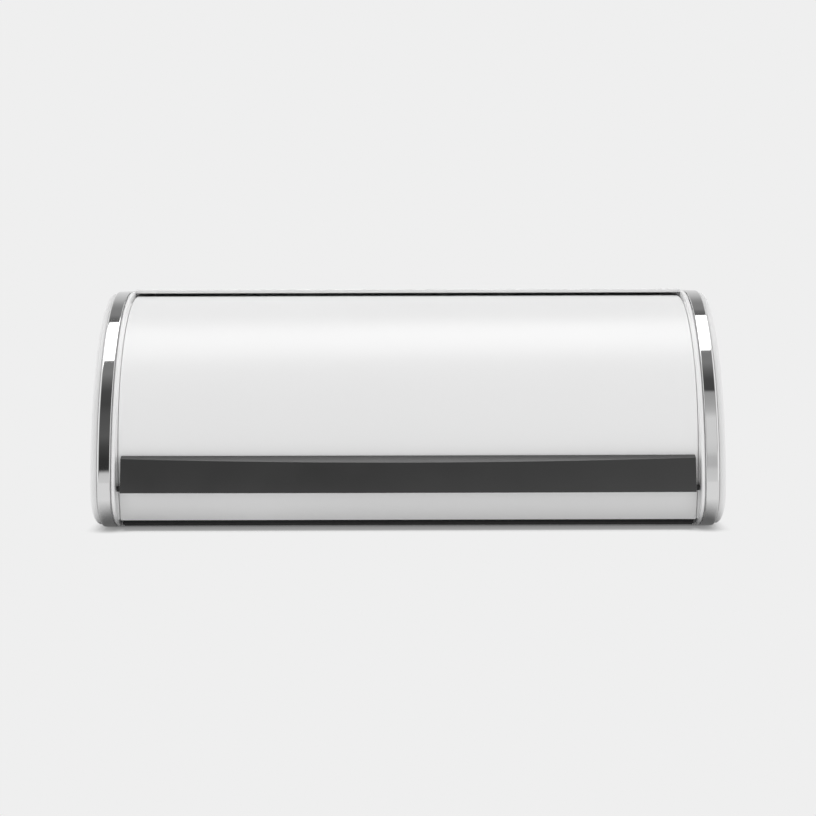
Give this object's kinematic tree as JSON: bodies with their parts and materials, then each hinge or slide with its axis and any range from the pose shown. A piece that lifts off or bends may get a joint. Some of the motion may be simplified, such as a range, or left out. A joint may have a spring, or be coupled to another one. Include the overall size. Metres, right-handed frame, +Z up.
{
  "type": "bread box with roll top",
  "caption": "Roll-top bread box: a bent steel case between D-shaped ends, with a curved lid that turns on side pivots and rolls up inside the case.",
  "frame": {"origin": "on the resting plane, under the centre of the whole box's bounding box, lid shut", "axes": "+X along the box to its right end as seen from the front, the handle faces -Y, +Z up"},
  "size_m": [0.466, 0.2544, 0.178],
  "materials": {
    "white_enamel": "smooth white coating, semi-gloss",
    "white_plastic": "white moulding, soft gloss",
    "chrome_trim": "bright chrome, polished",
    "plain_steel": "plain zinc-plated steel",
    "grip_plastic": "dark grey moulding, satin",
    "rail_plastic": "black moulding, satin",
    "pale_nylon": "natural nylon",
    "black_rubber": "black rubber"
  },
  "bodies": {
    "case": {"wrap_shell": "white_enamel", "front_sill": "black_rubber", "side_frame_left": "white_plastic", "side_frame_right": "white_plastic", "trim_ring_left": "chrome_trim", "trim_ring_right": "chrome_trim", "side_cover_left": "white_plastic", "side_cover_right": "white_plastic", "pivot_pin_left": "plain_steel", "pivot_pin_right": "plain_steel", "pivot_washer_left": "pale_nylon", "pivot_washer_right": "pale_nylon", "pivot_clip_left": "plain_steel", "pivot_clip_right": "plain_steel", "closing_buffer_left": "black_rubber", "closing_buffer_right": "black_rubber", "opening_buffer_left": "black_rubber", "opening_buffer_right": "black_rubber", "case_screw_top_left": "plain_steel", "case_screw_top_right": "plain_steel", "case_screw_rear_left": "plain_steel", "case_screw_rear_right": "plain_steel", "case_screw_front_left": "plain_steel", "case_screw_front_right": "plain_steel", "foot_front_left": "black_rubber", "foot_front_right": "black_rubber", "foot_rear_left": "black_rubber", "foot_rear_right": "black_rubber"},
    "lid": {"lid_panel": "white_enamel", "lid_arm_left": "plain_steel", "lid_arm_right": "plain_steel", "pivot_bush_left": "pale_nylon", "pivot_bush_right": "pale_nylon", "lid_rivet_1_left": "plain_steel", "lid_rivet_1_right": "plain_steel", "lid_rivet_2_left": "plain_steel", "lid_rivet_2_right": "plain_steel", "lid_rivet_3_left": "plain_steel", "lid_rivet_3_right": "plain_steel", "handle_rail": "rail_plastic", "handle_grip": "grip_plastic", "handle_screw_1": "plain_steel", "handle_screw_2": "plain_steel", "handle_screw_3": "plain_steel", "handle_screw_4": "plain_steel", "handle_screw_5": "plain_steel"}
  },
  "joints": [
    {"name": "lid", "type": "hinge", "parent": "case", "child": "lid", "pos_m": [0, 0.0049, 0.0537], "axis": [-1, 0, 0], "range_deg": [0, 84]}
  ]
}
